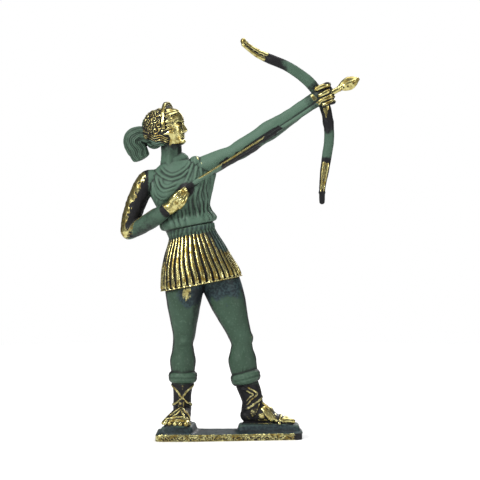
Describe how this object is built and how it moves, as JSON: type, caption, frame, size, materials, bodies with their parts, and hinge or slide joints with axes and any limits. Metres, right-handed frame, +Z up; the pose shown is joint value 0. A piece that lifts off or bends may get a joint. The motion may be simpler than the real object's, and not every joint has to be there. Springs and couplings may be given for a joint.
{
  "type": "archer statuette",
  "caption": "Patinated brass statuette of a striding huntress in a short pleated skirt, drawing a bow, cast in one with a flat base.",
  "frame": {"origin": "on the flat underside of the base, under the middle of its length", "axes": "+Z up, -Y the way the chest faces, +X the way the arrow points"},
  "size_m": [0.1198, 0.0306, 0.1997],
  "materials": {
    "patinated_brass": "green and black patina, rubbed to bright brass on raised places"
  },
  "bodies": {
    "root": {"statuette": "patinated_brass"}
  },
  "joints": []
}
